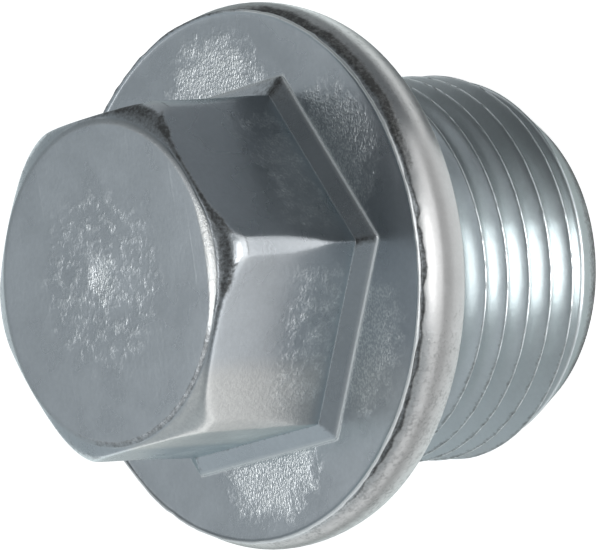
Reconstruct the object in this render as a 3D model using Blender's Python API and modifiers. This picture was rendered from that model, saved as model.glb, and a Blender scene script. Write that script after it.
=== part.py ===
"""Flanged hexagon drain plug, M20 x 1.5, cold formed and thread rolled from one steel blank.

The plug stands on its threaded end: the end face is at z = 0 and the hexagon head is on top.
All sizes are in metres.
"""

import math

import bmesh
import bpy
from mathutils import Matrix, Vector

MM = 0.001

# Thread: metric fine, right-hand, 60 degree profile
thread_diameter = 20.0 * MM
thread_pitch = 1.5 * MM
thread_depth = 0.92 * MM
crest_width = 0.19 * MM
flank_angle = math.radians(30.0)
# Height above the end face at which a crest crosses the +X side
crest_offset = 0.28 * MM

# Shank, from the flange's seat to the end face
shank_length = 13.85 * MM
neck_length = 1.9 * MM
neck_depth = 0.13 * MM
neck_fillet = 1.25 * MM
runout_angle = math.radians(45.0)
end_chamfer_length = 2.8 * MM
end_chamfer_angle = math.radians(32.0)

# Flange, a round disc whose rim bulges between its two faces
flange_diameter = 28.0 * MM
flange_thickness = 3.15 * MM
rim_front_step = 0.33 * MM
rim_front_depth = 0.75 * MM
rim_seat_step = 0.53 * MM
rim_seat_depth = 0.7 * MM

# Hexagon head, with a sloped hexagonal foot on the flange
across_flats = 17.0 * MM
head_height = 9.0 * MM
foot_height = 0.65 * MM
foot_flare = 0.9 * MM
# End face circle, set in from the flats, with a rounded edge and a chamfer
face_inset = 0.37 * MM
face_edge_radius = 0.6 * MM
head_chamfer_angle = math.radians(25.0)
# The corners aren't filled out near the end face and are full below this height above the flange
corner_cut = 0.26 * MM
full_corner_height = 2.1 * MM

# Facets
turned_steps = 72
thread_steps = 48
arc_steps = 4
# How far helper shapes run past the surface that they cut or join
overrun = 2.0 * MM
root_sink = 0.1 * MM

# Worked out from the sizes above
seat_z = shank_length
flange_z = seat_z + flange_thickness
top_z = flange_z + head_height
thread_radius = thread_diameter / 2
root_radius = thread_radius - thread_depth
neck_radius = root_radius - neck_depth
flange_radius = flange_diameter / 2
flat_radius = across_flats / 2
corner_radius = flat_radius / math.cos(math.pi / 6)
face_radius = flat_radius - face_inset

zinc_color = (0.60, 0.63, 0.66, 1.0)
zinc_metallic = 1.0
zinc_roughness = 0.32


def clear_scene():
    for item in list(bpy.data.objects):
        bpy.data.objects.remove(item, do_unlink=True)


def new_collection(name):
    collection = bpy.data.collections.new(name)
    bpy.context.scene.collection.children.link(collection)
    return collection


def zinc_plated_steel():
    material = bpy.data.materials.new("zinc_plated_steel")
    material.use_nodes = True
    shader = material.node_tree.nodes["Principled BSDF"]
    shader.inputs["Base Color"].default_value = zinc_color
    shader.inputs["Metallic"].default_value = zinc_metallic
    shader.inputs["Roughness"].default_value = zinc_roughness
    return material


def as_helper(item):
    item.hide_render = True
    item.display_type = "WIRE"
    return item


def arc(center_r, center_z, radius_r, radius_z, start, end, steps=arc_steps):
    """Points of a circular or elliptic arc in the (radius, height) plane, angles in degrees."""
    points = []
    for i in range(steps + 1):
        angle = math.radians(start + (end - start) * i / steps)
        points.append((center_r + radius_r * math.cos(angle), center_z + radius_z * math.sin(angle)))
    return points


def turned(name, profile, collection):
    """A solid of revolution about Z. The profile runs from the axis down its outer side to the axis."""
    mesh = bpy.data.meshes.new(name)
    points = [(radius, 0.0, height) for radius, height in profile]
    edges = [(i, i + 1) for i in range(len(points) - 1)]
    mesh.from_pydata(points, edges, [])
    item = bpy.data.objects.new(name, mesh)
    collection.objects.link(item)
    screw = item.modifiers.new("turn", "SCREW")
    screw.axis = "Z"
    screw.angle = 2 * math.pi
    screw.steps = turned_steps
    screw.render_steps = turned_steps
    screw.use_merge_vertices = True
    screw.merge_threshold = 0.000001
    return item


def hexagon(name, lower_radius, upper_radius, lower_z, upper_z, collection):
    """A six-sided prism or frustum with a corner on the +X side."""
    mesh = bpy.data.meshes.new(name)
    shape = bmesh.new()
    place = Matrix.Translation((0.0, 0.0, (lower_z + upper_z) / 2)) @ Matrix.Rotation(math.pi / 6, 4, "Z")
    bmesh.ops.create_cone(
        shape,
        cap_ends=True,
        segments=6,
        radius1=lower_radius,
        radius2=upper_radius,
        depth=upper_z - lower_z,
        matrix=place,
    )
    shape.to_mesh(mesh)
    shape.free()
    item = bpy.data.objects.new(name, mesh)
    collection.objects.link(item)
    return item


def combine(item, other, operation):
    modifier = item.modifiers.new(other.name, "BOOLEAN")
    modifier.operation = operation
    modifier.solver = "EXACT"
    modifier.object = other


def shank_and_flange(collection):
    """The turned body: flange on top, neck and thread core below, with a square end to be chamfered."""
    front_radius = flange_radius - rim_front_step
    seat_radius = flange_radius - rim_seat_step
    profile = [(0.0, flange_z)]
    profile += arc(front_radius, flange_z - rim_front_depth, rim_front_step, rim_front_depth, 90, 0)
    profile += arc(seat_radius, seat_z + rim_seat_depth, rim_seat_step, rim_seat_depth, 0, -90)
    profile += arc(neck_radius + neck_fillet, seat_z - neck_fillet, neck_fillet, neck_fillet, 90, 180)
    profile += [
        (neck_radius, seat_z - neck_length),
        (root_radius, seat_z - neck_length - neck_depth),
        (root_radius, -overrun),
        (0.0, -overrun),
    ]
    return turned("drain_plug", profile, collection)


def head_envelope(collection):
    """The round form that trims the hexagon: end face, rounded edge, chamfer and unfilled corners."""
    tilt = math.degrees(head_chamfer_angle)
    edge_center = face_radius - face_edge_radius * math.tan(head_chamfer_angle / 2)
    profile = [(0.0, top_z)]
    profile += arc(edge_center, top_z - face_edge_radius, face_edge_radius, face_edge_radius, 90, 90 - tilt)
    cut_radius = corner_radius - corner_cut
    chamfer_end_z = top_z - (cut_radius - face_radius) * math.tan(head_chamfer_angle)
    full_z = flange_z + full_corner_height
    fill_steps = arc_steps + 2
    for i in range(fill_steps + 1):
        share = i / fill_steps
        # The cut fades with the cube of the way down, and goes on past the full corner
        profile.append((cut_radius + corner_cut * share**3, chamfer_end_z + (full_z - chamfer_end_z) * share))
    profile += [
        (corner_radius + overrun, full_z - overrun / 2),
        (corner_radius + overrun, flange_z - flange_thickness),
        (0.0, flange_z - flange_thickness),
    ]
    return as_helper(turned("head_envelope", profile, collection))


def hexagon_head(collection):
    lower_z = flange_z - flange_thickness / 2
    head = hexagon("hexagon_head", corner_radius, corner_radius, lower_z, top_z + overrun, collection)
    combine(head, head_envelope(collection), "INTERSECT")
    return as_helper(head)


def hexagon_foot(collection):
    """The sloped foot. It runs on along its slope, down into the flange and up into the head."""
    slope = foot_flare / foot_height
    sink = foot_height / 3
    lower_flat = flat_radius + foot_flare + slope * sink
    upper_flat = flat_radius - slope * sink
    to_corner = corner_radius / flat_radius
    lower_z = flange_z - sink
    upper_z = flange_z + foot_height + sink
    foot = hexagon("hexagon_foot", lower_flat * to_corner, upper_flat * to_corner, lower_z, upper_z, collection)
    return as_helper(foot)


def thread_section(height):
    """Corners of the ridge's section at the +X side, as vectors, round its outline."""
    half_crest = crest_width / 2
    half_base = half_crest + (thread_depth + root_sink) * math.tan(flank_angle)
    sunk = root_radius - root_sink
    corners = [
        (sunk, -half_base),
        (thread_radius, -half_crest),
        (thread_radius, half_crest),
        (sunk, half_base),
    ]
    return [Vector((radius, 0.0, height + z)) for radius, z in corners]


def thread_ridge(collection):
    """The helical ridge: the section turned about Z while it climbs one pitch for each turn."""
    start = crest_offset - 2 * thread_pitch
    turns = math.ceil((seat_z - neck_length - start) / thread_pitch) + 1
    shape = bmesh.new()
    section = [shape.verts.new(corner) for corner in thread_section(start)]
    face = shape.faces.new(section)
    bmesh.ops.spin(
        shape,
        geom=[face],
        cent=(0.0, 0.0, 0.0),
        axis=(0.0, 0.0, 1.0),
        dvec=(0.0, 0.0, thread_pitch / thread_steps),
        angle=2 * math.pi * turns,
        steps=turns * thread_steps,
        use_duplicate=False,
    )
    bmesh.ops.recalc_face_normals(shape, faces=shape.faces)
    mesh = bpy.data.meshes.new("thread_ridge")
    shape.to_mesh(mesh)
    shape.free()
    ridge = bpy.data.objects.new("thread_ridge", mesh)
    collection.objects.link(ridge)
    combine(ridge, runout_cutter(collection), "DIFFERENCE")
    return as_helper(ridge)


def runout_cutter(collection):
    """Takes the ridge away above a cone, so that the thread runs out at the neck."""
    inner = root_radius - root_sink - overrun / 4
    outer = thread_radius + overrun
    top = seat_z + 2 * thread_pitch + overrun
    inner_z = seat_z - neck_length - neck_depth - thread_depth * 0.1
    outer_z = inner_z - (outer - inner) * math.tan(runout_angle)
    profile = [(0.0, top), (outer, top), (outer, outer_z), (inner, inner_z), (0.0, inner_z)]
    return as_helper(turned("runout_cutter", profile, collection))


def end_cutter(collection):
    """Takes away what lies below the end face and outside the end chamfer."""
    slope = math.tan(end_chamfer_angle)
    end_radius = thread_radius - end_chamfer_length * slope
    outer = thread_radius + overrun
    outer_z = (outer - end_radius) / slope
    bottom = -2 * overrun - 3 * thread_pitch
    profile = [(0.0, 0.0), (end_radius, 0.0), (outer, outer_z), (outer, bottom), (0.0, bottom)]
    return as_helper(turned("end_cutter", profile, collection))


def build():
    clear_scene()
    parts = new_collection("drain_plug")
    cutters = new_collection("cutters")
    plug = shank_and_flange(parts)
    combine(plug, hexagon_head(cutters), "UNION")
    combine(plug, hexagon_foot(cutters), "UNION")
    combine(plug, thread_ridge(cutters), "UNION")
    combine(plug, end_cutter(cutters), "DIFFERENCE")
    plug.data.materials.append(zinc_plated_steel())
    return plug


build()
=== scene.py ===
import math

import bpy
import numpy as np
from mathutils import Matrix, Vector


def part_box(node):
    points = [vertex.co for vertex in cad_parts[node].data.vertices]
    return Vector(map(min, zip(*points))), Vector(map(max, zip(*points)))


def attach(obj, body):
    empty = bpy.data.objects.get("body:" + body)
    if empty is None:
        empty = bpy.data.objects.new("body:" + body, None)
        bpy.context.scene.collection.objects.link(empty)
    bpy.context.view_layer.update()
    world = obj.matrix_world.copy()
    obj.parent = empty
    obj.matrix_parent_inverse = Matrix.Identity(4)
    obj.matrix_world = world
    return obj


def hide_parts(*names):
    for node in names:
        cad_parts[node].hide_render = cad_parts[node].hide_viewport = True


# Looks of a zinc-plated hexagon drain plug. Shapes are worked out in millimetres and stored in metres.

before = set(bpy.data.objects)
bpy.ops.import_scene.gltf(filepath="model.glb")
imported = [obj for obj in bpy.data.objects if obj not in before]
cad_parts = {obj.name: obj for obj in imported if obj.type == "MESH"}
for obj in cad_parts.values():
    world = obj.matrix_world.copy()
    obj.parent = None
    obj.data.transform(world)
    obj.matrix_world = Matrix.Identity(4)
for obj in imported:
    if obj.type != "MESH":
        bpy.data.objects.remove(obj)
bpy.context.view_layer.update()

mm = 0.001
lowCorner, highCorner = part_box("drain_plug")
topZ = (highCorner[2] - lowCorner[2]) / mm
rimRadius = (highCorner[0] - lowCorner[0]) / 2 / mm

# Columns run round the axis and are gathered at the six corners of the hexagon. A facet is the half
# width of a corner in degrees: on round parts, on the foot, and the least of any row.
columns = {"facet": 5, "flat": 13, "gather": 1.6, "roundFacet": 2.8, "footFacet": 0.9, "leastFacet": 0.7}
columnCount = 12 * (columns["facet"] + columns["flat"])

head = {
    "height": 9.0,
    "flat": 8.5,  # half of the width across flats
    "faceRadius": 8.15,
    "edgeRadius": 1.0,
    "edgeWorn": 0.9,  # more radius where the edge is worn, at the corner on +X
    "wornWidth": 0.04,
    "chamferDegrees": 22.0,
    "cornerCut": 0.26,
    "cornerRound": 1.15,  # from the chamfer round into the unfilled corner
    "fullCorner": 2.1,  # height above the flange where the corners are full
    "crispEdge": 260,  # a higher number makes a crisper edge
    "chamferCrisp": 65,
    "footHeight": 0.65,
    "footFlare": 0.9,
    "footRound": 0.12,
    "footLift": 0.02,
    "footCorner": 110,
    "dimplePlace": (-0.39, 0.29),
    "dimpleRadius": 0.8,
    "dimpleDepth": 0.05,
    "faceRows": 30,
    "edgeRows": 10,
    "chamferRows": 18,
    "flatRows": 29,
    "lastFlatRows": (0.985, 0.996, 1.0),  # shares of the way down to the foot
    "footRows": (0.01, 0.04, 0.2, 0.4, 0.6, 0.8, 0.96),  # shares of the foot's slope
    "footRoundRows": 7,
    "footHollow": ((0.002, 0.008), (0.012, 0.002), (0.03, 0.0)),  # (out, up) from the foot's edge
}

flange = {
    "thickness": 3.15,
    "faceRows": 24,
    "lipRadius": 13.57,
    "lipHeight": 0.06,
    "lipInside": 0.21,
    "lipEdge": 13.61,
    # (millimetres out from the lip's radius, shares of its height)
    "lipProfile": (
        (-0.13, 0.12), (-0.09, 0.5), (-0.045, 0.9), (0.0, 1.0), (0.035, 0.85), (0.06, 0.2), (0.075, -0.7),
        (0.075, -1.6),
    ),
    "lipWavy": 0.016,
    "lipRough": 0.012,
    "lipUneven": 0.35,  # share of the lip's height
    "notchRows": 12,
    "notchEnd": 0.42,  # depth below the front where the notch behind the lip meets the barrel
    "notchUneven": 0.22,
    "notchDepth": 0.12,
    "notchTorn": 0.018,
    "notchSide": 26,  # degrees from +X to where the notch is deepest
    "widest": 1.43,  # depth below the front of the barrel's largest radius
    "frontCurve": 1.86,
    "frontRows": 16,
    "seatCurve": 3.66,
    "backRows": 13,
    "seatRound": 0.3,
    "seatTurn": 25.0,
    "seatRoundRows": 8,
    "seatRows": 7,
}

shank = {
    "rootRadius": 8.98,
    "neckRadius": 8.95,
    "neckFillet": 1.25,
    "filletRows": 10,
    "neckRows": 4,
    "finishShare": 0.6,  # share of the fillet down which the rolled finish starts
    "runoutDrop": 2.1,  # from the seat down to where the thread runs out
    "chamferDegrees": 32.0,
    "chamferRows": 7,
    "endRadius": 8.25,
    "endRound": 0.2,
    "endRoundRows": 7,
    "endRows": 18,
}

thread = {
    "radius": 9.99,
    "pitch": 1.5,
    "lowEnd": 1.0,  # height below which there is only the end chamfer
    "crestRound": 0.14,
    "crestWorn": 0.006,
    "rootRound": 0.21,
    "crestOffset": 0.28,
    "flankDegrees": 30.0,
    "runoutRound": 0.01,
    "chamferRound": 0.012,
    "seamDepth": 0.05,
    "seamHalf": 0.032,
    "seamShift": -0.065,
    # Heights of the rows of one pitch from its crest, close together at the crest and the seam
    "rows": (
        0.68, 0.59, 0.48, 0.37, 0.28, 0.21, 0.15, 0.1, 0.06, 0.03, 0.0, -0.02, -0.035, -0.048, -0.062,
        -0.075, -0.09, -0.12, -0.18, -0.27, -0.4, -0.55, -0.68, -0.75,
    ),
}

# Uneven lines round the axis: a seed for the phases, then how many waves of each sine go round
ripples = {
    "lipWavy": (3, (5, 11, 23, 37, 61)),
    "lipRough": (8, (17, 29, 47, 71, 97)),
    "notchEnd": (14, (4, 9, 19, 31, 53, 83)),
    "notchTorn": (31, (13, 27, 41, 59, 87)),
    "crest": (21, (7, 19, 31, 53)),
    "seam": (5, (3, 8, 13, 29, 44)),
    "beads": (51, (23, 37, 53, 71)),
}

flangeZ = topZ - head["height"]
seatZ = flangeZ - flange["thickness"]
footZ = flangeZ + head["footHeight"]
runoutZ = seatZ - shank["runoutDrop"]
cornerRadius = head["flat"] / math.cos(math.radians(30))
cutRadius = cornerRadius - head["cornerCut"]
chamferTilt = math.radians(head["chamferDegrees"])
endSlope = math.tan(math.radians(shank["chamferDegrees"]))

# Middle of the arc that joins the chamfer to the unfilled corner. The arc touches the chamfer's cone
# where its normal leans by the chamfer's angle.
arcRadius = cutRadius - head["cornerRound"]
touchRadius = arcRadius + head["cornerRound"] * math.sin(chamferTilt)
touchZ = topZ - (touchRadius - head["faceRadius"]) * math.tan(chamferTilt)
arcZ = touchZ - head["cornerRound"] * math.cos(chamferTilt)


def bell(value, middle, width):
    # 1 at the middle, falling off on both sides: exp(-((value - middle) / width)^2)
    return np.exp(-(((value - middle) / width) ** 2))


def step(value, start, end):
    # Smooth step from 0 at start to 1 at end: 3*t^2 - 2*t^3
    t = np.clip((value - start) / (end - start), 0, 1)
    return t * t * (3 - 2 * t)


def spread(start, end, count):
    # Column of evenly spaced values after start, up to end: start + (end - start) * (1 ... count) / count
    return np.linspace(start, end, count + 1)[1:, None]


def softMin(first, second, crisp):
    # Rounded minimum of two radii: (a^-k + b^-k)^(-1/k), worked out relative to the smaller one
    least = np.minimum(first, second)
    return least * ((least / first) ** crisp + (least / second) ** crisp) ** (-1.0 / crisp)


def easeMax(first, second, width):
    # Rounded maximum: m + w*log(exp((a-m)/w) + exp((b-m)/w))
    most = np.maximum(first, second)
    return most + width * np.log(np.exp((first - most) / width) + np.exp((second - most) / width))


def columnAngles(facetDegrees):
    # Angle of each column for rows with a corner facet of this half width. From a corner to the middle of
    # a flat: f*(1-(1-a)^g) over the facet, then f+(30-f)*b^g over the flat. The other half mirrors it.
    facet = np.reshape(facetDegrees, (-1, 1))
    a = np.linspace(0, 1, columns["facet"] + 1)[None, :]
    b = np.linspace(0, 1, columns["flat"] + 1)[None, 1:]
    onFacet = facet * (1 - (1 - a) ** columns["gather"])
    onFlat = facet + (30 - facet) * b ** columns["gather"]
    local = np.concatenate([onFacet, onFlat], axis=1)
    side = np.concatenate([local[:, :-1], 60 - local[:, :0:-1]], axis=1)
    turns = [side + 60 * corner for corner in range(6)]
    return np.radians(np.concatenate(turns, axis=1))


def fromFlat(angle):
    # Angle from the middle of the nearest flat, 0 to 30 degrees
    return np.abs(np.mod(angle, math.pi / 3) - math.pi / 6)


def hexRadius(flat, angle, crisp):
    # Hexagon with rounded corners: flat * (cos(b)^k + cos(60-b)^k)^(-1/k)
    b = fromFlat(angle)
    return flat * (np.cos(b) ** crisp + np.cos(math.pi / 3 - b) ** crisp) ** (-1.0 / crisp)


def ripple(angle, name):
    # Uneven line between about -1 and 1: sum of sin(wave * angle + phase) / sqrt(number of waves)
    seed, waves = ripples[name]
    rng = np.random.default_rng(seed)
    total = np.zeros_like(angle)
    for wave in waves:
        total = total + np.sin(wave * angle + rng.uniform(0, 2 * math.pi)) / len(waves) ** 0.5
    return total


def cutAt(z):
    # Radius of the unfilled corner: it grows with the cube of the way down from the arc
    share = np.clip((arcZ - z) / (arcZ - flangeZ - head["fullCorner"]), 0, 2)
    return cornerRadius - head["cornerCut"] * (1 - share**3)


def headEnvelope(z):
    # Round form that trims the hexagon: the chamfer's cone, an arc, then the unfilled corner
    cone = head["faceRadius"] + (topZ - z) / math.tan(chamferTilt)
    rise = np.clip(z - arcZ, 0, head["cornerRound"])
    arc = arcRadius + np.sqrt(head["cornerRound"] ** 2 - rise**2)
    return np.where(z > arcZ, np.where(z > touchZ, cone, arc), cutAt(z))


def chamferMeets(angle):
    # Radius at which the chamfer ends, at the flat or at the unfilled corner, whichever is less
    return np.minimum(hexRadius(head["flat"], angle, head["crispEdge"]), cutRadius)


def meetHeight(radius):
    # Height at which the round form has this radius, down to where the arc ends
    out = np.clip(radius - arcRadius, 0, head["cornerRound"])
    arc = arcZ + np.sqrt(head["cornerRound"] ** 2 - out**2)
    return np.where(radius < touchRadius, topZ - (radius - head["faceRadius"]) * math.tan(chamferTilt), arc)


def headRadius(z, angle):
    # softMin of the round form and the hexagon: soft where the chamfer meets the flats, crisper below
    soft = step(z, arcZ - 0.6, arcZ + 0.8)
    crisp = head["crispEdge"] + (head["chamferCrisp"] - head["crispEdge"]) * soft
    return softMin(headEnvelope(z), hexRadius(head["flat"], angle, head["crispEdge"]), crisp)


def edgeRadiusAt(angle):
    # Radius of the end face's rounded edge: r + worn * exp(-((1 - cos(angle)) / width)^2)
    return head["edgeRadius"] + head["edgeWorn"] * bell(np.cos(angle), 1, head["wornWidth"])


def headRows():
    # End face, rounded edge, chamfer, flats and foot, each a block of rows of (angle, radius, height)
    wide = columnAngles(columns["roundFacet"])
    edgeRadius = edgeRadiusAt(wide)
    edgeStart = head["faceRadius"] - edgeRadius * math.tan(chamferTilt / 2)
    # End face with a shallow round dimple: top - depth * exp(-(distance / radius)^4)
    radius = edgeStart * np.linspace(0, 1, head["faceRows"])[:, None]
    dimpleX, dimpleY = head["dimplePlace"]
    away = np.hypot(radius * np.cos(wide) - dimpleX, radius * np.sin(wide) - dimpleY) / head["dimpleRadius"]
    blocks = [(wide, radius, topZ - head["dimpleDepth"] * np.exp(-(away**4)))]
    # Rounded edge, which turns by the chamfer's angle
    turn = spread(0, chamferTilt, head["edgeRows"])
    z = topZ - edgeRadius * (1 - np.cos(turn))
    blocks.append((wide, edgeStart + edgeRadius * np.sin(turn), z))
    edgeEnd = z[-1:]
    # Chamfer, down to where it meets the flat or the corner
    meetZ = meetHeight(chamferMeets(wide))
    z = edgeEnd + (meetZ - edgeEnd) * (1 - (1 - spread(0, 1, head["chamferRows"])) ** 1.3)
    blocks.append((wide, headRadius(z, wide), z))
    # Flats and corners, down to the foot
    t = spread(0, 1, head["flatRows"])[:-1] ** 1.7
    t = np.concatenate([t, np.array(head["lastFlatRows"])[:, None]])
    cornerZ = meetZ[:, :1] + (footZ - meetZ[:, :1]) * t
    facet = 30 - np.degrees(np.arccos(np.clip(head["flat"] / cutAt(cornerZ), 0, 1)))
    angle = columnAngles(np.maximum(facet[:, 0], columns["leastFacet"]))
    z = meetZ + (footZ - meetZ) * t
    blocks.append((angle, headRadius(z, angle), z))
    # Foot: a slope, a rounded edge that starts about where the slope touches it, and a small hollow
    edge = head["footRound"]
    run = head["footFlare"] - edge
    lean = math.atan2(head["footHeight"] - 0.8 * edge, run + 0.5 * edge)
    turn = np.linspace(lean, math.pi / 2, head["footRoundRows"])
    out = run + edge * np.sin(turn)
    up = head["footLift"] + edge * np.cos(turn)
    t = np.array(head["footRows"])
    hollowOut, hollowUp = np.array(head["footHollow"]).T
    slopeUp = head["footHeight"] + (up[0] - head["footHeight"]) * t
    out = np.concatenate([out[0] * t, out, head["footFlare"] + hollowOut])[:, None]
    up = np.concatenate([slopeUp, up, hollowUp])[:, None]
    angle = columnAngles(np.full(len(out), columns["footFacet"]))
    crisp = head["crispEdge"] + (head["footCorner"] - head["crispEdge"]) * out / head["footFlare"]
    radius = hexRadius(head["flat"] + out, angle, crisp)
    blocks.append((angle, radius, flangeZ + up))
    return blocks, radius[-1:]


def barrelRadius(depth):
    # Two arcs that meet at the widest depth: R - c*(1 - cos(a)) with sin(a) = (depth - widest)/c
    curve = np.where(depth < flange["widest"], flange["frontCurve"], flange["seatCurve"])
    return rimRadius - curve + np.sqrt(curve**2 - (depth - flange["widest"]) ** 2)


def notchShare(angle):
    # The notch behind the lip is deepest on one side of the rim: cos((angle - side) / 2)^2
    return np.cos((angle - math.radians(flange["notchSide"])) / 2) ** 2


def notchEndAt(angle):
    # Depth of the notch's ragged end: end * (0.5 + 0.5 * share) * (1 + uneven * ripple)
    uneven = 1 + flange["notchUneven"] * ripple(angle, "notchEnd")
    return flange["notchEnd"] * (0.5 + 0.5 * notchShare(angle)) * uneven


def flangeRows(outline):
    # Flange face from the foot's hexagon out to a circle, burr lip, notch, barrelled rim, seat and neck
    wide = columnAngles(columns["roundFacet"])
    inner = flange["lipRadius"] - flange["lipInside"]
    t = spread(0, 1, flange["faceRows"]) ** 1.15
    angle = columnAngles(columns["footFacet"] + (columns["roundFacet"] - columns["footFacet"]) * t[:, 0])
    blocks = [(angle, outline + (inner - outline) * t, flangeZ)]
    # Lip: a low burr, then its rounded outer edge
    out, up = np.array(flange["lipProfile"]).T[..., None]
    rough = ripple(wide, "lipRough")
    uneven = 1 + flange["lipUneven"] * rough
    radius = flange["lipRadius"] + out + flange["lipWavy"] * ripple(wide, "lipWavy")
    radius = radius + flange["lipRough"] * rough
    blocks.append((wide, radius, flangeZ + flange["lipHeight"] * up * uneven))
    lipEnd, lipDepth = radius[-1:], -up[-1] * flange["lipHeight"] * uneven
    # Notch behind the lip, hollow by a sine, with a torn surface
    notchEnd = notchEndAt(wide)
    t = spread(0, 1, flange["notchRows"])
    depth = lipDepth + (notchEnd - lipDepth) * t
    hollow = flange["notchDepth"] * (0.35 + 0.65 * notchShare(wide)) * np.sin(math.pi * t**0.8)
    torn = flange["notchTorn"] * ripple(wide + 0.3 * t, "notchTorn") * np.sin(math.pi * t)
    radius = lipEnd + (barrelRadius(notchEnd) - lipEnd) * t - hollow + torn
    blocks.append((wide, radius, flangeZ - depth))
    # Barrelled rim, then a rounded edge into the seat
    depth = notchEnd + (flange["widest"] - notchEnd) * spread(0, 1, flange["frontRows"])
    blocks.append((wide, barrelRadius(depth), flangeZ - depth))
    turn = math.radians(flange["seatTurn"])
    joinDepth = flange["thickness"] - flange["seatRound"] * (1 - math.sin(turn))
    depth = spread(flange["widest"], joinDepth, flange["backRows"])
    blocks.append((wide, barrelRadius(depth), flangeZ - depth))
    seatEdge = barrelRadius(joinDepth) - flange["seatRound"] * math.cos(turn)
    turn = spread(turn, math.pi / 2, flange["seatRoundRows"])
    z = seatZ + flange["seatRound"] * (1 - np.sin(turn))
    blocks.append((wide, seatEdge + flange["seatRound"] * np.cos(turn), z))
    # Seat, the fillet into the neck, and the neck
    fillet = shank["neckFillet"]
    filletRadius = shank["neckRadius"] + fillet
    t = spread(0, 1, flange["seatRows"])
    blocks.append((wide, seatEdge + (filletRadius - seatEdge) * t, seatZ))
    turn = np.radians(spread(90, 180, shank["filletRows"]))
    blocks.append((wide, filletRadius + fillet * np.cos(turn), seatZ - fillet * (1 - np.sin(turn))))
    blocks.append((wide, shank["neckRadius"], spread(seatZ - fillet, runoutZ, shank["neckRows"])))
    return blocks


def fromCrest(rise):
    # Distance along the axis from the nearest crest, from minus to plus half a pitch
    half = thread["pitch"] / 2
    return np.mod(rise + half, thread["pitch"]) - half


def threadRadius(offset, angle, z):
    # Radius at this distance along the axis from the crest: the hyperbola R + c - sqrt((d/tan30)^2 + c^2)
    # with a shallow seam, held above a rounded root, then the smaller of that, the run-out and the chamfer
    steep = offset / math.tan(math.radians(thread["flankDegrees"]))
    c = thread["crestRound"]
    worn = thread["crestWorn"] * (1 + ripple(angle, "crest"))
    seam = thread["seamDepth"] * (0.8 + 0.3 * ripple(angle, "seam"))
    radius = thread["radius"] + c - np.sqrt(steep**2 + c**2) - worn
    radius = radius - seam * bell(offset, thread["seamShift"], thread["seamHalf"])
    radius = easeMax(radius, shank["rootRadius"], thread["rootRound"])
    runout = shank["neckRadius"] + (runoutZ - z)
    chamfer = shank["endRadius"] + z * endSlope
    radius = -easeMax(-radius, -runout, thread["runoutRound"])
    return -easeMax(-radius, -chamfer, thread["chamferRound"])


def threadRows():
    # Rows follow the helix, z = row + pitch * angle / 360, so the last column of a row meets the first
    # column of the row one pitch higher. Heights are held between the run-out and the chamfer.
    pitch, lowEnd = thread["pitch"], thread["lowEnd"]
    inPitch = np.array(thread["rows"])
    first, last = math.floor(lowEnd / pitch) - 2, math.ceil(runoutZ / pitch) + 1
    crests = thread["crestOffset"] + pitch * np.arange(last, first - 1, -1)
    rowZ = (crests[:, None] + inPitch[None, :]).reshape(-1, 1)
    offset = np.tile(inPitch, len(crests))[:, None]
    angle = np.repeat(columnAngles(columns["roundFacet"]), len(rowZ), axis=0)
    climb = pitch * angle / (2 * math.pi)
    z = np.clip(rowZ + climb, lowEnd, runoutZ)
    # The offset from the crest counts from the held height, so that a held point stays on the surface
    radius = threadRadius(fromCrest(z - (rowZ - offset + climb)), angle, z)
    radius = np.where(z >= runoutZ, shank["neckRadius"], radius)
    radius = np.where(z <= lowEnd, shank["endRadius"] + lowEnd * endSlope, radius)
    return angle, radius, z


def endRows():
    # The lower part of the end chamfer, a rounded edge and the flat end face
    wide = columnAngles(columns["roundFacet"])
    endRadius, roundZ = shank["endRadius"], shank["endRound"]
    z = np.linspace(thread["lowEnd"], roundZ, shank["chamferRows"])[:, None]
    # The edge is a quadratic curve from the cone to the face: (1-t)^2*a + 2*t*(1-t)*b + t^2*c
    t = spread(0, 1, shank["endRoundRows"])
    a, b, c = np.array([(endRadius + endSlope * roundZ, roundZ), (endRadius, 0.0), (endRadius - roundZ, 0.0)])
    curve = (1 - t) ** 2 * a + 2 * t * (1 - t) * b + t**2 * c
    return [
        (wide, endRadius + endSlope * z, z),
        (wide, curve[:, :1], curve[:, 1:]),
        (wide, c[0] * (1 - spread(0, 1, shank["endRows"])), 0.0),
    ]


def quadsBetween(left, right):
    # Quads from points of a row and their neighbours to the right, down to the next row
    return np.stack([left, left + columnCount, right + columnCount, right], axis=-1).reshape(-1, 4)


def gridFaces(start, rows):
    # Quads between neighbouring rows and columns, the last column joined to the first
    row = start + columnCount * np.arange(rows - 1)[:, None]
    j = np.arange(columnCount)
    return quadsBetween(row + j, row + (j + 1) % columnCount)


def helixFaces(start, rows):
    # As gridFaces, but the last column joins the first column one pitch further up the list of rows
    row = start + columnCount * np.arange(rows - 1)[:, None]
    j = np.arange(columnCount - 1)
    perPitch = len(thread["rows"])
    seam = quadsBetween(row[perPitch:] + columnCount - 1, row[:-perPitch])
    return np.concatenate([quadsBetween(row + j, row + j + 1), seam])


def stackRows(blocks):
    # Points (radius * cos(angle), radius * sin(angle), height), row after row, of a list of blocks
    whole = [np.broadcast_arrays(*block) for block in blocks]
    angle, radius, z = (np.concatenate(values) for values in zip(*whole))
    return np.stack([radius * np.cos(angle), radius * np.sin(angle), z], axis=-1).reshape(-1, 3)


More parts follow.
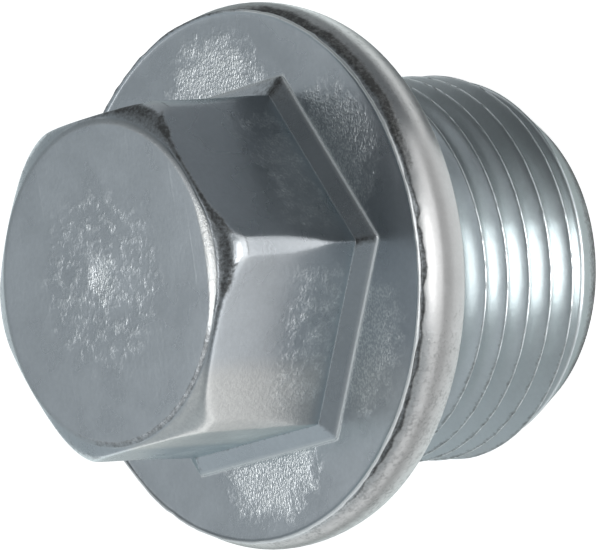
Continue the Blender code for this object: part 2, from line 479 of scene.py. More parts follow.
# Sides of the plug with their own wear, dirt, painted highlight or painted shade: the middle of each in
# degrees from +X, then the cosines of the angle away from it at which the side starts and is full
sides = {
    "dirty": (25, 0.2, 0.75),
    "dull": (-66, 0.86, 0.95),
    "top": (112, 0.75, 0.93),
    "far": (-125, 0.3, 0.75),
    "front": (0, 0.0, 0.5),
    "bright": (-3, 0.88, 0.96),
    "upper": (45, 0.6, 0.9),
    "flaked": (45, 0.75, 0.95),
    "low": (-66, 0.6, 0.85),
    "under": (-90, 0.3, 0.75),
    "above": (90, 0.0, 0.1),
    "bare": (-150, 0.85, 0.93),
    "rimLow": (-75, 0.3, 0.75),
    "rimTop": (55, 0.7, 0.95),
}

# How strongly each place shows in each mask
marks = {
    # Bright metal on worn edges; on the face edge toward the camera, the foot's outer edge and the crests'
    # front side it is also a painted highlight
    "wearAndHighlight": {
        "lip": 1, "footEdge": 1, "ridge": 0.1, "cornerRound": 0.3, "faceEdge": 0.1, "paintedFaceEdgeHighlight": 0.9,
        "crest": 0.3, "dullChamfer": 0.7,
    },
    # Dark marks: painted shade in the notch behind the lip, the crease inside the foot, under the crests on
    # the lower side and on the end chamfer, and in part along the chamfer's border; darker on the rim's top
    # and bottom sides; dark residue in the other places
    "grimeAndShade": {
        "notch": 1, "flakes": 0.95, "topLip": 0.8, "border": 1, "chamferCorner": 0.85, "footCorner": 1,
        "footInnerShade": 0.45, "seam": 0.85, "lowEnd": 0.9, "darkerFaceEdge": 1, "shadeUnderCrest": 0.5,
        "crestBreaks": 1, "dirtyFoot": 0.42, "rimLow": 0.3, "rimTop": 0.25,
    },
    # Coarse crystals of the plating
    "crystal": {"besideFlat": 1.1, "dimple": 0.7, "roundDimple": 0.19, "onFlat": 0.36},
    # Dull, slightly warm metal
    "dull": {"rim": 1, "dullChamfer": 0.9, "dullFaceEdge": 0.5},
    # Frayed edges, which scatter the light; on the foot's outer edge and the crests' front side this also
    # brightens a painted highlight
    "frayed": {"footEdge": 1, "footTop": 0.25, "lip": 0.5, "crest": 0.4, "farLip": 0.8},
}

# Radii, heights and distances between which a place starts and is full, or its middle and its width
spans = {
    "notch": (13.2, 13.4),
    "flakes": (13.3, 13.5),
    "rim": (13.3, 13.45),
    "offCorner": (8.8, 9.3),
    "outerCorner": (8.5, 9.0),
    "flangeFace": (9.35, 9.55),
    "threadRadius": (9.6, 9.9),
    "threadEnd": (0.6, 1.2),
    "lowEnd": (1.6, 0.3),
    "endEdge": (7.9, 8.2),
    "dimple": (1.6, 0.5),
    "roundDimple": (5.8, 3.4),
    "patch": {"middle": 9.6, "along": 3.9, "out": 3.25},
}


def flangePlaces(radius, angle, z, side):
    # Lip, notch and rim, and the patches of crystals opposite the flats: products of bells and steps
    depth = flangeZ - z
    notchEnd = notchEndAt(angle)
    outside = step(depth, -0.3, -0.2)
    lip = bell(radius, flange["lipEdge"] - 0.01, 0.08) * step(depth, 0.1, 0.03) * outside
    onLip = step(radius, flange["lipEdge"] - 0.15, flange["lipEdge"] - 0.05) * outside * step(depth, 0.4, 0.3)
    # The notch is darkened as painted shade in the hollow behind the lip
    notch = step(depth, 0.05, 0.1) * step(depth, notchEnd * 1.12, notchEnd * 0.86)
    notch = notch * step(radius, *spans["notch"]) * (0.9 - 0.2 * side["upper"]) * (1 - 0.85 * side["far"])
    rim = step(depth, notchEnd * 0.7, notchEnd) * step(radius, *spans["rim"])
    patch = spans["patch"]
    along = radius * np.sin(fromFlat(angle)) / patch["along"]
    flatWay = radius * np.cos(fromFlat(angle))
    inPatch = step(np.hypot(along, (flatWay - patch["middle"]) / patch["out"]), 1.2, 0.4)
    inPatch = inPatch * bell(depth, 0, 0.02) * step(flatWay, *spans["flangeFace"])
    return {
        "lip": lip * (1 - side["top"]),
        "topLip": onLip * side["top"],
        "farLip": onLip * side["far"],
        "notch": notch,
        "flakes": bell(depth, notchEnd + 0.14, 0.2) * step(radius, *spans["flakes"]) * side["flaked"],
        "rim": rim,
        "rimLow": rim * side["rimLow"],
        "rimTop": rim * side["rimTop"],
        "besideFlat": inPatch * (1 - side["bare"]),
    }


def headPlaces(radius, angle, z, side):
    # End face and its edge, chamfer, corners, flats and foot: products of bells and steps
    depth = flangeZ - z
    fromCorner = np.degrees(math.pi / 6 - fromFlat(angle))
    flatWay = radius * np.cos(fromFlat(angle))
    belowFlats = 1 - step(z, footZ - 0.02, footZ + 0.05)
    dirtySide = 0.3 + 0.7 * side["dirty"]
    cornerRound = bell(z, arcZ + 0.3, 0.45) * step(fromCorner, 7, 3) * step(radius, *spans["offCorner"])
    edgeIn = head["faceRadius"] - 0.19 * edgeRadiusAt(angle)
    edgeOut = head["faceRadius"] + 0.18 * edgeRadiusAt(angle)
    faceEdge = step(radius, edgeIn, edgeIn + 0.1) * step(radius, edgeOut + 0.04, edgeOut - 0.08)
    faceEdge = faceEdge * step(z, topZ - 0.35, topZ - 0.25)
    # On the side toward the camera the face edge gets a painted highlight; elsewhere it is darker, most on
    # the low side, and duller
    plainFaceEdge = faceEdge * (1 - side["bright"])
    chamfer = step(radius, edgeOut - 0.05, edgeOut + 0.12) * step(z, footZ, footZ + 1)
    # The border where the chamfer meets the flats is darkened: partly dirt, partly painted shade
    border = chamfer * bell(z, meetHeight(chamferMeets(angle)) + 0.01, 0.13) * (1 - 0.9 * cornerRound)
    border = border * (0.75 + 0.2 * side["upper"]) * dirtySide * (1 - side["dull"])
    chamferCorner = chamfer * step(fromCorner, 17, 9) * step(z, arcZ + 0.55, arcZ + 0.85)
    chamferCorner = chamferCorner * (0.75 + 0.35 * step(radius, *spans["outerCorner"]))
    footEdge = bell(flatWay, head["flat"] + head["footFlare"] - 0.02, 0.06) * step(depth, 0.02, -0.02)
    footCorner = bell(fromCorner, 0, 1.5) * step(z, footZ + 0.05, footZ - 0.05) * step(depth, -0.02, -0.2)
    onFoot = step(flatWay, head["flat"] + 0.04, head["flat"] + 0.2) * step(depth, -0.03, -0.12) * belowFlats
    ridge = bell(fromCorner, 0, 1.4) * step(z, footZ - 0.1, footZ + 0.1) * step(z, arcZ - 1.6, arcZ - 3.6)
    onFlat = step(z, footZ + 0.1, footZ + 0.6) * step(z, footZ + 4.6, footZ + 2.2) * step(fromCorner, 3, 9)
    dimpleX, dimpleY = head["dimplePlace"]
    fromDimple = np.hypot(radius * np.cos(angle) - dimpleX, radius * np.sin(angle) - dimpleY)
    onFace = step(z, topZ - 0.12, topZ - 0.06)
    return {
        "dimple": onFace * step(fromDimple, *spans["dimple"]),
        "roundDimple": onFace * step(fromDimple, *spans["roundDimple"]),
        "faceEdge": faceEdge,
        "paintedFaceEdgeHighlight": faceEdge * side["bright"],
        "darkerFaceEdge": plainFaceEdge * (0.22 + 0.33 * side["low"]),
        "dullFaceEdge": plainFaceEdge * dirtySide,
        "border": border,
        "chamferCorner": chamferCorner * dirtySide * (1 - 0.8 * side["dull"]),
        "dullChamfer": chamfer * side["dull"],
        "cornerRound": cornerRound,
        "ridge": ridge,
        "onFlat": onFlat,
        "footTop": bell(z, footZ + 0.03, 0.035) * bell(flatWay, head["flat"], 0.03),
        # The crease where the flats meet the foot is darkened: painted shade
        "footInnerShade": bell(z, footZ, 0.04) * bell(flatWay, head["flat"], 0.06),
        "footCorner": footCorner * dirtySide,
        # The foot's outer edge is worn and frayed, and its bright line is also a painted edge highlight
        "footEdge": footEdge * belowFlats,
        "dirtyFoot": onFoot * step(fromCorner, 17, 5) * side["above"] * dirtySide,
    }


def threadPlaces(radius, angle, z, side):
    # Crests, the lap seam and the end, by the distance along the axis from the nearest crest
    offset = fromCrest(z - thread["crestOffset"] - thread["pitch"] * angle / (2 * math.pi))
    onThread = step(radius, *spans["threadRadius"]) * step(z, *spans["threadEnd"])
    onThread = onThread * step(z, seatZ - 0.5, seatZ - 1.0)
    beads = 0.5 + 0.5 * ripple(angle + 0.7 * z, "beads")
    breaks = onThread * bell(offset, 0.03, 0.07) * step(beads, 0.5, 0.1)
    return {
        # On the side toward the camera the crests are worn and frayed; the brightening there is partly wear,
        # partly a painted highlight
        "crest": onThread * bell(offset, -0.02, 0.03) * np.clip(beads, 0, 1) * side["front"],
        "crestBreaks": breaks * (0.6 - 0.35 * side["under"]),
        # Beside the crests on the lower side the thread is darkened: painted shade that dims their highlight
        "shadeUnderCrest": onThread * bell(offset, 0.05, 0.09) * side["under"],
        "seam": onThread * bell(offset, thread["seamShift"] - 0.02, 0.04),
        # The end chamfer and the thread's last turn are darkened: painted shade
        "lowEnd": step(z, *spans["lowEnd"]) * (0.15 + 0.85 * step(radius, *spans["endEdge"])),
    }


def surfaceMasks(points):
    # Where the finish changes: each mask is the sum of strength * place, held between 0 and 1
    x, y, z = points.T
    radius, angle = np.hypot(x, y), np.arctan2(y, x)
    side = {}
    for name, (middle, start, full) in sides.items():
        side[name] = step(np.cos(angle - math.radians(middle)), start, full)
    places = {}
    for placesOf in (flangePlaces, headPlaces, threadPlaces):
        places.update(placesOf(radius, angle, z, side))
    masks = {}
    for mask, strengths in marks.items():
        masks[mask] = np.clip(sum(places[name] * strengths[name] for name in strengths), 0, 1)
    return masks


def weld(points, faces):
    # Points at the same place become one, and faces that closed up lose the corner or go
    _, firsts, index = np.unique(np.round(points, 5), axis=0, return_index=True, return_inverse=True)
    faces = index.reshape(-1)[faces]
    same = faces == np.roll(faces, -1, axis=1)
    quads = faces[same.sum(axis=1) == 0]
    closing = faces[same.sum(axis=1) == 1]
    shut = same[same.sum(axis=1) == 1]
    return points[firsts], quads, closing[~shut].reshape(-1, 3)


def meshFrom(points, quads, triangles):
    # Mesh in metres from points in millimetres, the quads first and then the triangles, all smooth
    mesh = bpy.data.meshes.new("plug")
    corners = np.concatenate([quads.ravel(), triangles.ravel()]).astype(np.int32)
    sizes = np.concatenate([np.full(len(quads), 4), np.full(len(triangles), 3)])
    starts = np.concatenate([[0], np.cumsum(sizes)[:-1]]).astype(np.int32)
    mesh.vertices.add(len(points))
    mesh.vertices.foreach_set("co", (points * mm).ravel())
    mesh.loops.add(len(corners))
    mesh.loops.foreach_set("vertex_index", corners)
    mesh.polygons.add(len(sizes))
    mesh.polygons.foreach_set("loop_start", starts)
    mesh.polygons.foreach_set("use_smooth", np.ones(len(sizes), bool))
    mesh.update(calc_edges=True)
    mesh.validate()
    return mesh


def addAttribute(mesh, name, values):
    # One number for each point, for the materials to read
    mesh.attributes.new(name, "FLOAT", "POINT").data.foreach_set("value", values.ravel().astype(np.float32))


def newObject(name, data):
    # Object at the origin, in the scene
    item = bpy.data.objects.new(name, data)
    bpy.context.scene.collection.objects.link(item)
    return item


def makePlug():
    # Head and flange, thread, and end, each a stack of rows, welded into one closed surface
    headBlocks, outline = headRows()
    parts = [stackRows(headBlocks + flangeRows(outline)), stackRows([threadRows()]), stackRows(endRows())]
    sizes = [len(part) for part in parts]
    upperRows, middleRows, lowerRows = (size // columnCount for size in sizes)
    faces = np.concatenate([
        gridFaces(0, upperRows),
        helixFaces(sizes[0], middleRows),
        gridFaces(sizes[0] + sizes[1], lowerRows),
    ])
    points, quads, triangles = weld(np.concatenate(parts), faces)
    mesh = meshFrom(points, quads, triangles)
    for name, values in surfaceMasks(points).items():
        addAttribute(mesh, name, values)
    # Second finish on the neck and the thread
    corner = np.concatenate([quads[:, 0], triangles[:, 0]])
    below = points[corner, 2] < seatZ - shank["neckFillet"] * shank["finishShare"]
    mesh.polygons.foreach_set("material_index", below.astype(np.int32))
    print("plug mesh:", len(points), "points,", len(mesh.polygons), "faces")
    return newObject("plug", mesh)


plug = makePlug()
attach(plug, "root")
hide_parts("drain_plug")

# Finishes. Patterns read the object's own coordinates, in metres, so a scale of 5000 is 0.2 mm.


def newGroup(name, inputs, outputs):
    # Node group with these sockets. Gives back the group, what it takes in and the node that puts it out.
    group = bpy.data.node_groups.new(name, "ShaderNodeTree")
    for label in inputs:
        kind = "NodeSocketVector" if label in ("Vector", "Lines") else "NodeSocketFloat"
        group.interface.new_socket(label, in_out="INPUT", socket_type=kind)
    for label in outputs:
        group.interface.new_socket(label, in_out="OUTPUT", socket_type="NodeSocketFloat")
    source = group.nodes.new("NodeGroupInput")
    return group, source.outputs, group.nodes.new("NodeGroupOutput")


def feed(tree, node, sockets):
    # Each socket, told by its name or as n and its number, gets a link or a value
    for key, value in sockets.items():
        socket = node.inputs[int(key[1:])] if key[0] == "n" and key[1:].isdigit() else node.inputs[key]
        if isinstance(value, bpy.types.NodeSocket):
            tree.links.new(value, socket)
        else:
            socket.default_value = value


def put(tree, kind, settings=None, **sockets):
    # A node with its properties and its sockets
    node = tree.nodes.new(kind)
    for key, value in (settings or {}).items():
        setattr(node, key, value)
    feed(tree, node, sockets)
    return node


def mathNode(tree, operation, *values, clamp=False):
    # One step of arithmetic on links or numbers
    sockets = {f"n{i}": value for i, value in enumerate(values)}
    return put(tree, "ShaderNodeMath", {"operation": operation, "use_clamp": clamp}, **sockets).outputs[0]


def addUp(tree, start, weights, amounts, clamp=False):
    # start + sum of weight * amount
    total = start
    for name, weight in weights.items():
        total = mathNode(tree, "MULTIPLY_ADD", amounts[name], weight, total, clamp=clamp)
    return total


def ramp(tree, value, low, high, start=0.0, end=1.0):
    # Straight line from start to end while the value goes from low to high, held outside
    sockets = {"n0": value, "n1": low, "n2": high, "n3": start, "n4": end}
    return put(tree, "ShaderNodeMapRange", **sockets).outputs[0]


def noise(tree, vector, scale, detail, rough):
    # Soft noise between 0 and 1, with this many waves in a metre
    sockets = {"Vector": vector, "Scale": scale, "Detail": detail, "Roughness": rough}
    return put(tree, "ShaderNodeTexNoise", **sockets).outputs[0]


def stretched(tree, vector, scale, turn):
    # Object coordinates turned about the axis and scaled, for patterns that are long one way
    return put(tree, "ShaderNodeMapping", Vector=vector, Rotation=(0, 0, turn), Scale=scale).outputs[0]


def mixColor(tree, amount, first, second):
    # first + (second - first) * amount
    return put(tree, "ShaderNodeMix", {"data_type": "RGBA"}, n0=amount, n6=first, n7=second).outputs[2]


def maskOf(tree, name):
    # One of the surface masks
    return put(tree, "ShaderNodeAttribute", {"attribute_name": name}).outputs["Fac"]


# Waves in a metre of each pattern
patterns = {"Cloud": 330.0, "Blotch": 1500.0, "Grain": 4200.0, "Specks": 5600.0}


def makeClouds():
    # Cloudy plating, about 0 in the middle: broad clouds, blotches and fine grain
    names = ("Cloud", "Blotch", "Grain")
    group, ins, target = newGroup("platingClouds", ("Vector",), names)
    for name in names:
        pattern = noise(group, ins["Vector"], patterns[name], 2.0, 0.6)
        feed(group, target, {name: ramp(group, pattern, 0.25, 0.75, -1.0, 1.0)})
    return group


def makeCrystals():
    # Coarse zinc crystals, shown where the mask is above the blotches: bright tops, which are painted glints,
    # and a bump height
    inputs = ("Vector", "Mask", "Blotch")
    group, ins, target = newGroup("zincCrystals", inputs, ("Amount", "Shine", "Height"))
    grains = noise(group, ins["Vector"], 1.0, 1.0, 0.6)
    level = mathNode(group, "MULTIPLY_ADD", ins["Blotch"], 0.5, ins["Mask"])
    amount = mathNode(group, "MULTIPLY", ramp(group, level, 0.12, 1.0), ramp(group, ins["Mask"], 0.0, 0.2))
    paintedGlint = mathNode(group, "MULTIPLY", ramp(group, grains, 0.46, 0.6), amount)
    height = mathNode(group, "MULTIPLY", grains, amount)
    feed(group, target, {"Amount": amount, "Shine": paintedGlint, "Height": height})
    return group


def makeGrimeAndShade():
    # Dirt and painted shade that follow a mask, broken up by fine specks and by the blotches
    inputs = ("Vector", "Mask", "Blotch")
    group, ins, target = newGroup("grimeAndShadePatches", inputs, ("Amount", "Specks"))
    specks = noise(group, ins["Vector"], patterns["Specks"], 2.0, 0.65)
    level = mathNode(group, "MULTIPLY_ADD", ins["Blotch"], 0.12, mathNode(group, "MULTIPLY", specks, 0.7))
    level = mathNode(group, "MULTIPLY_ADD", ins["Mask"], 0.75, level)
    inMask = ramp(group, ins["Mask"], 0.03, 0.2)
    amount = mathNode(group, "MULTIPLY", ramp(group, level, 0.55, 1.15), inMask)
    feed(group, target, {"Amount": amount, "Specks": specks})
    return group


def makeScratches():
    # Fine lines along the stretched direction of the vector, kept only where the clouds are high
    group, ins, target = newGroup("fineScratches", ("Lines", "Cloud"), ("Amount",))
    lines = ramp(group, noise(group, ins["Lines"], 1.0, 1.0, 0.6), 0.62, 0.75)
    amount = mathNode(group, "MULTIPLY", lines, ramp(group, ins["Cloud"], -0.3, 0.5))
    feed(group, target, {"Amount": amount})
    return group


groups = {
    "clouds": makeClouds(),
    "crystals": makeCrystals(),
    "grimeAndShade": makeGrimeAndShade(),
    "scratches": makeScratches(),
}


def place(tree, name, **sockets):
    # One of the groups, with this material's own values
    return put(tree, "ShaderNodeGroup", {"node_tree": groups[name]}, **sockets).outputs


zinc = {
    "edgeTint": (0.9, 0.98, 0.97, 1.0),
    "dull": (0.57, 0.565, 0.56, 1.0),
    "crystal": (0.93, 0.95, 0.95, 1.0),
    "scratch": (0.86, 0.88, 0.9, 1.0),
    "frayed": (0.95, 0.96, 0.96, 1.0),
    # dark colour of grime and of painted shade
    "grimeAndShade": (0.062, 0.059, 0.056, 1.0),
    # Scales of the crystals' grains, and of the scratches on flat faces
    "grains": (9300.0, 6100.0, 7600.0),
    "flatLines": (5200.0, 110.0, 300.0),
    # Shares of these colours, where they are strongest
    "tint": {"crystal": 0.25, "scratch": 0.1, "grimeAndShade": 0.92},
    # Added roughness and metal, and bump heights in metres
    "rough": {"cloud": 0.025, "dull": 0.05, "wearAndHighlight": 0.04, "frayed": 0.35, "crystal": 0.05, "grimeAndShade": 0.25},
    "metal": {"grimeAndShade": -0.6},
    "height": {"grain": 1.2e-6, "crystalTops": 4e-5, "scratch": 1.5e-6, "uneven": 1e-5, "grimeAndShade": 1.2e-5},
    "forged": {
        "color": (0.585, 0.615, 0.645, 1.0),
        "worn": (0.8, 0.8, 0.78, 1.0),
        "roughness": 0.28,
        "shade": {"cloud": 0.05, "grain": 0.04},
        "lines": (5200.0, 5200.0, 160.0),
    },
    "rolled": {
        "color": (0.60, 0.64, 0.65, 1.0),
        "worn": (0.8, 0.82, 0.82, 1.0),
        "roughness": 0.32,
        "shade": {"cloud": 0.04, "grain": 0.032},
        "lines": (120.0, 120.0, 6500.0),
    },
}


def newMaterial(name):
    # Material with its node tree and its shader
    material = bpy.data.materials.new(name)
    material.use_nodes = True
    return material, material.node_tree, material.node_tree.nodes["Principled BSDF"]


def platedSteel(name, finish):
    # Zinc plating with clouds, crystals with painted glints, scratches, wear and painted highlights, grime
    # and painted shade, each laid over the one before
    material, tree, shader = newMaterial(name)
    spot = put(tree, "ShaderNodeTexCoord").outputs["Object"]
    clouds = place(tree, "clouds", Vector=spot)
    masks = {mask: maskOf(tree, mask) for mask in marks}
    grimeAndShade = place(tree, "grimeAndShade", Vector=spot, Mask=masks["grimeAndShade"], Blotch=clouds["Blotch"])
    turn = math.radians(viewer["turn"])
    grains = stretched(tree, spot, zinc["grains"], turn)
    crystals = place(tree, "crystals", Vector=grains, Mask=masks["crystal"], Blotch=clouds["Blotch"])
    # Scratches run one way across the flat faces, and another way on the upright ones
    upward = put(tree, "ShaderNodeSeparateXYZ", Vector=put(tree, "ShaderNodeNewGeometry").outputs["Normal"])
    level = ramp(tree, mathNode(tree, "ABSOLUTE", upward.outputs[2]), 0.5, 0.8)
    ways = [stretched(tree, spot, scale, turn) for scale in (finish["lines"], zinc["flatLines"])]
    lines = put(tree, "ShaderNodeMix", {"data_type": "VECTOR"}, n0=level, n4=ways[0], n5=ways[1]).outputs[1]
    scratch = place(tree, "scratches", Lines=lines, Cloud=clouds["Cloud"])["Amount"]
    wearAndHighlight = mathNode(tree, "MULTIPLY", masks["wearAndHighlight"], ramp(tree, grimeAndShade["Specks"], 0.35, 0.6, 0.55, 1.0))
    rubbed = mathNode(tree, "MAXIMUM", masks["grimeAndShade"], wearAndHighlight)
    amounts = {
        "cloud": clouds["Cloud"], "grain": clouds["Grain"], "dull": masks["dull"], "wearAndHighlight": wearAndHighlight,
        "frayed": masks["frayed"], "crystal": crystals["Amount"], "crystalTops": crystals["Height"],
        "scratch": scratch, "uneven": mathNode(tree, "MULTIPLY", grimeAndShade["Specks"], rubbed),
        "grimeAndShade": grimeAndShade["Amount"],
    }
    # Colour: plating, dull places, worn edges and painted highlights, crystals with painted glints and
    # scratches, then grime and painted shade
    tints = {key: mathNode(tree, "MULTIPLY", amounts[key], share) for key, share in zinc["tint"].items()}
    shade = addUp(tree, 1.0, finish["shade"], amounts)
    color = mixColor(tree, masks["dull"], finish["color"], zinc["dull"])
    color = put(tree, "ShaderNodeVectorMath", {"operation": "SCALE"}, n0=color, Scale=shade).outputs[0]
    for amount, tone in (
        (wearAndHighlight, finish["worn"]),
        (masks["frayed"], zinc["frayed"]),
        (tints["crystal"], zinc["crystal"]),
        # painted glints on the crystals' tops
        (crystals["Shine"], zinc["crystal"]),
        (tints["scratch"], zinc["scratch"]),
        (tints["grimeAndShade"], zinc["grimeAndShade"]),
    ):
        color = mixColor(tree, amount, color, tone)
    # One bump from the sum of all the heights
    height = addUp(tree, 0.0, zinc["height"], amounts)
    feed(tree, shader, {
        "Base Color": color,
        "Roughness": addUp(tree, finish["roughness"], zinc["rough"], amounts, clamp=True),
        "Metallic": addUp(tree, 1.0, zinc["metal"], amounts, clamp=True),
        "Specular Tint": zinc["edgeTint"],
        "Normal": put(tree, "ShaderNodeBump", Distance=1.0, Height=height).outputs[0],
    })
    return material


# Camera and light. Ways are told as (sideways, down the picture, up along the axis to the head), where
# sideways is the side of the plug that faces the camera.

viewer = {
    "tilt": 49.06,  # degrees between the line of sight and the axis
    "roll": 2.668,
    "turn": 8.983,  # degrees from the corner on +X to the side nearest the camera
    "distance": 500.0,
    "shiftRight": -2.958,
    "shiftDown": -0.004,
    "pixelsFocal": 9804.5,
    "pixelsWide": 600.0,
    "sensor": 36.0,
    "clip": (0.01, 20.0),
}
turnAngle = math.radians(-viewer["turn"])
sideways = np.array([math.cos(turnAngle), math.sin(turnAngle), 0.0])
downPicture = np.array([math.sin(turnAngle), -math.cos(turnAngle), 0.0])
upAxis = np.array([0.0, 0.0, 1.0])


def photoWay(way):
    # Unit direction: the sum of the way's three parts, divided by its length
    toward = way[0] * sideways + way[1] * downPicture + way[2] * upAxis
    return toward / np.linalg.norm(toward)


def turnTo(item, across, up, back, place):
    # The object's own axes point these three ways, and it stands at this place in millimetres
    turned = np.eye(4)
    turned[:3] = np.stack([across, up, back, place * mm], axis=1)
    item.matrix_world = Matrix(turned.tolist())


def placeCamera():
    # Camera axes from the tilt and the roll. It looks at the middle of the flange's face.
    tilt, roll = math.radians(viewer["tilt"]), math.radians(viewer["roll"])
    level = math.cos(tilt) * sideways - math.sin(tilt) * upAxis
    right = math.cos(roll) * level + math.sin(roll) * downPicture
    down = -math.sin(roll) * level + math.cos(roll) * downPicture
    away = -math.sin(tilt) * sideways - math.cos(tilt) * upAxis
    place = flangeZ * upAxis - viewer["distance"] * away
    place = place - viewer["shiftRight"] * right - viewer["shiftDown"] * down
    data = bpy.data.cameras.new("photoCamera")
    data.sensor_width = viewer["sensor"]
    data.lens = viewer["pixelsFocal"] / viewer["pixelsWide"] * viewer["sensor"]
    data.clip_start, data.clip_end = viewer["clip"]
    camera = newObject("photoCamera", data)
    turnTo(camera, right, -down, -away, place)
    bpy.context.scene.camera = camera


# The low lamp stands close beside the thread and is aimed along its grooves
lamps = {
    "overhead": {
        "way": (-0.4, 0.06, 0.92), "distance": 350, "aim": 13, "size": (110, 160), "spread": 180,
        "glow": 2.35,
    },
    "side": {
        "way": (0.98, -0.06, 0.16), "distance": 350, "aim": 13, "size": (245, 150), "spread": 180,
        "glow": 2.6,
    },
    "low": {
        "way": (0.998, 0.05, 0.0), "distance": 19, "aim": 5.5, "size": (11.5, 9), "spread": 80,
        "glow": 1.3,
    },
}


def areaLight(name, lamp):
    # A flat lamp that faces the plug's axis. Its power is glow * pi * area, so glow is what a mirror
    # would show of it.
    data = bpy.data.lights.new(name, "AREA")
    data.shape = "RECTANGLE"
    data.size, data.size_y = lamp["size"][0] * mm, lamp["size"][1] * mm
    data.energy = lamp["glow"] * math.pi * data.size * data.size_y
    data.spread = math.radians(lamp["spread"])
    toward = photoWay(lamp["way"])
    across = np.cross(upAxis, toward)
    across = across / np.linalg.norm(across)
    item = newObject(name, data)
    turnTo(item, across, np.cross(toward, across), toward, toward * lamp["distance"] + upAxis * lamp["aim"])
    item.visible_camera = False


white = (1, 1, 1, 1)
paleFloor = {
    "side": 3.0,  # half of the floor's side in metres
    "color": (0.85, 0.85, 0.85, 1),
    "roughness": 0.9,
    "glow": 0.86,  # for the camera
    # for the metal the glow is least near the plug, a painted contact shadow in its reflections
    "near": (9.0, 0.1),  # for the metal: the distance from the axis, and the glow there
    "far": (12.0, 0.68),
}


def makeFloor():
    # Floor at height 0. Its own glow whitens the background, and the metal sees less of it, least close
    # round the plug, which paints a contact shadow into the metal's reflections.
    side = paleFloor["side"]
    mesh = bpy.data.meshes.new("floor")
    corners = [(-side, -side, 0), (side, -side, 0), (side, side, 0), (-side, side, 0)]
    mesh.from_pydata(corners, [], [(0, 1, 2, 3)])
    floor = newObject("floor", mesh)
    material, tree, shader = newMaterial("paleFloor")
    path = put(tree, "ShaderNodeLightPath").outputs
    mirrored = mathNode(tree, "MAXIMUM", path["Is Glossy Ray"], path["Is Transmission Ray"])
    spot = put(tree, "ShaderNodeTexCoord").outputs["Object"]
    away = put(tree, "ShaderNodeVectorMath", {"operation": "LENGTH"}, n0=spot).outputs["Value"]
    (near, nearGlow), (far, farGlow) = paleFloor["near"], paleFloor["far"]
    glow = mathNode(tree, "MULTIPLY", mirrored, ramp(tree, away, near * mm, far * mm, nearGlow, farGlow))
    feed(tree, shader, {
        "Base Color": paleFloor["color"],
        "Roughness": paleFloor["roughness"],
        "Emission Color": white,
        "Emission Strength": mathNode(tree, "MULTIPLY_ADD", path["Is Camera Ray"], paleFloor["glow"], glow),
    })
    floor.data.materials.append(material)


# Cards that only the metal's reflections show, glowing sheets that are no lamps: they paint light and
# shade into the reflections. Each is a sector of a shallow cone round the plug, z = low + rise * (r - inner),
# from one angle to another as seen from the camera's side. A card fades out at its edges, or its glow
# does: at the first and last angle and the inner and outer radius. A ring is a brighter band: its radius,
# its width and how much.
cards = {
    "greyCard": {
        "from": -150, "to": -42, "inner": 12.5, "outer": 150.0, "low": 0.3, "rise": 0.57,
        "color": (0.3, 0.32, 0.34, 1.0), "glow": 0.26, "fade": "glow", "ring": (20.0, 1.3, 6.0),
        "fades": (0, 85, 7, 0),
    },
    "whiteCard": {
        "from": -34, "to": 18, "inner": 28.0, "outer": 90.0, "low": 0.3, "rise": 0.0,
        "color": (0.9, 0.9, 0.9, 1.0), "glow": 1.2, "fade": "card",
        "fades": (12, 12, 14, 0),
    },
    "dimCard": {
        "from": -44, "to": 160, "inner": 18.0, "outer": 33.0, "low": 7.5, "rise": 0.0,
        "color": (0.3, 0.3, 0.3, 1.0), "glow": 0.36, "fade": "card",
        "fades": (12, 12, 2, 7),
    },
}
cardLines = 61  # rows and columns of a card
hair = 0.01  # least length of a fade


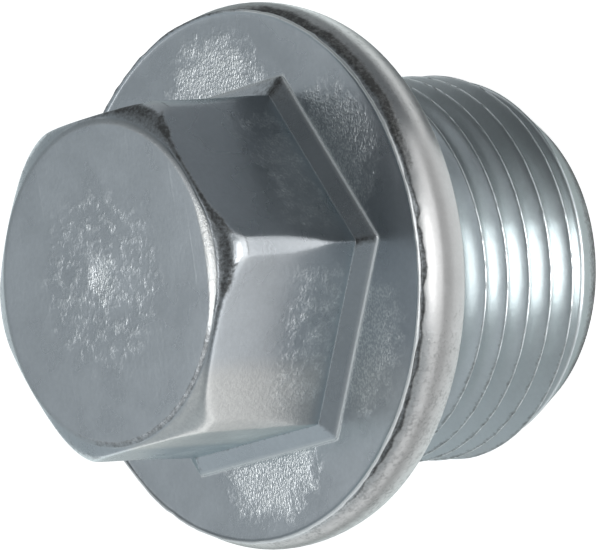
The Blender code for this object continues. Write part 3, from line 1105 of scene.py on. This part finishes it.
def makeCard(name, card):
    # Radius inner + (outer - inner) * t^2 for each row. The level is a product of a smooth step at each
    # edge, plus the ring's bell. It goes into the glow or into the card's alpha.
    angle = np.linspace(card["from"], card["to"], cardLines)[None, :]
    radius = card["inner"] + (card["outer"] - card["inner"]) * (np.linspace(0, 1, cardLines) ** 2)[:, None]
    turn = np.radians(angle)[..., None]
    height = card["low"] + card["rise"] * (radius - card["inner"])
    points = radius[..., None] * (np.cos(turn) * sideways + np.sin(turn) * downPicture)
    points = points + height[..., None] * upAxis
    level = 1.0
    edges = ((angle, "from", 1), (angle, "to", -1), (radius, "inner", 1), (radius, "outer", -1))
    for (value, edge, inward), fade in zip(edges, card["fades"]):
        level = level * step(value, card[edge] - inward * hair, card[edge] + inward * fade)
    if "ring" in card:
        middle, width, extra = card["ring"]
        level = level + extra * bell(radius, middle, width)
    here = np.arange(cardLines**2).reshape(cardLines, cardLines)[:-1, :-1].ravel()
    faces = np.stack([here, here + 1, here + cardLines + 1, here + cardLines], axis=-1)
    mesh = bpy.data.meshes.new(name)
    mesh.from_pydata((points.reshape(-1, 3) * mm).tolist(), [], faces.tolist())
    addAttribute(mesh, "level", level)
    item = newObject(name, mesh)
    material, tree, shader = newMaterial(name)
    sockets = {"Base Color": card["color"], "Roughness": 1.0, "Emission Color": white}
    shown = maskOf(tree, "level")
    if card["fade"] == "glow":
        sockets["Emission Strength"] = mathNode(tree, "MULTIPLY", shown, card["glow"])
    else:
        sockets["Emission Strength"] = card["glow"]
        sockets["Alpha"] = shown
    feed(tree, shader, sockets)
    item.data.materials.append(material)
    item.visible_camera = False
    item.visible_diffuse = False
    item.visible_shadow = False


sky = {
    "color": (0.86, 0.95, 1.0, 1.0),
    "base": 0.44,
    "lobes": [
        {"way": (0.1, -0.85, 0.5), "narrow": 2.0, "glow": -0.35},
        {"way": (0.35, 0.1, 0.93), "narrow": 5.0, "glow": -0.2},
        {"way": (-0.55, 0.75, 0.4), "narrow": 3.0, "glow": 0.16},
        {"way": (-0.8, -0.05, 0.6), "narrow": 4.0, "glow": -0.12},
    ],
}


def makeWorld():
    # Soft room light: base + sum of glow * max(0, direction . way)^narrow
    world = bpy.data.worlds.new("studio")
    bpy.context.scene.world = world
    world.use_nodes = True
    tree = world.node_tree
    direction = put(tree, "ShaderNodeTexCoord").outputs["Generated"]
    strength = sky["base"]
    for lobe in sky["lobes"]:
        way = photoWay(lobe["way"]).tolist()
        facing = put(tree, "ShaderNodeVectorMath", {"operation": "DOT_PRODUCT"}, n0=direction, n1=way)
        front = mathNode(tree, "MAXIMUM", facing.outputs["Value"], 0.0)
        narrow = mathNode(tree, "POWER", front, lobe["narrow"])
        strength = mathNode(tree, "MULTIPLY_ADD", narrow, lobe["glow"], strength)
    feed(tree, tree.nodes["Background"], {"Color": sky["color"], "Strength": strength})


plug.data.materials.append(platedSteel("forgedZinc", zinc["forged"]))
plug.data.materials.append(platedSteel("rolledZinc", zinc["rolled"]))
print("finishes made")
placeCamera()
makeFloor()
for cardName, card in cards.items():
    makeCard(cardName, card)
makeWorld()
for lampName, lamp in lamps.items():
    areaLight(lampName, lamp)
bpy.context.scene.view_settings.view_transform = "Standard"
print("camera, floor and lamps placed")
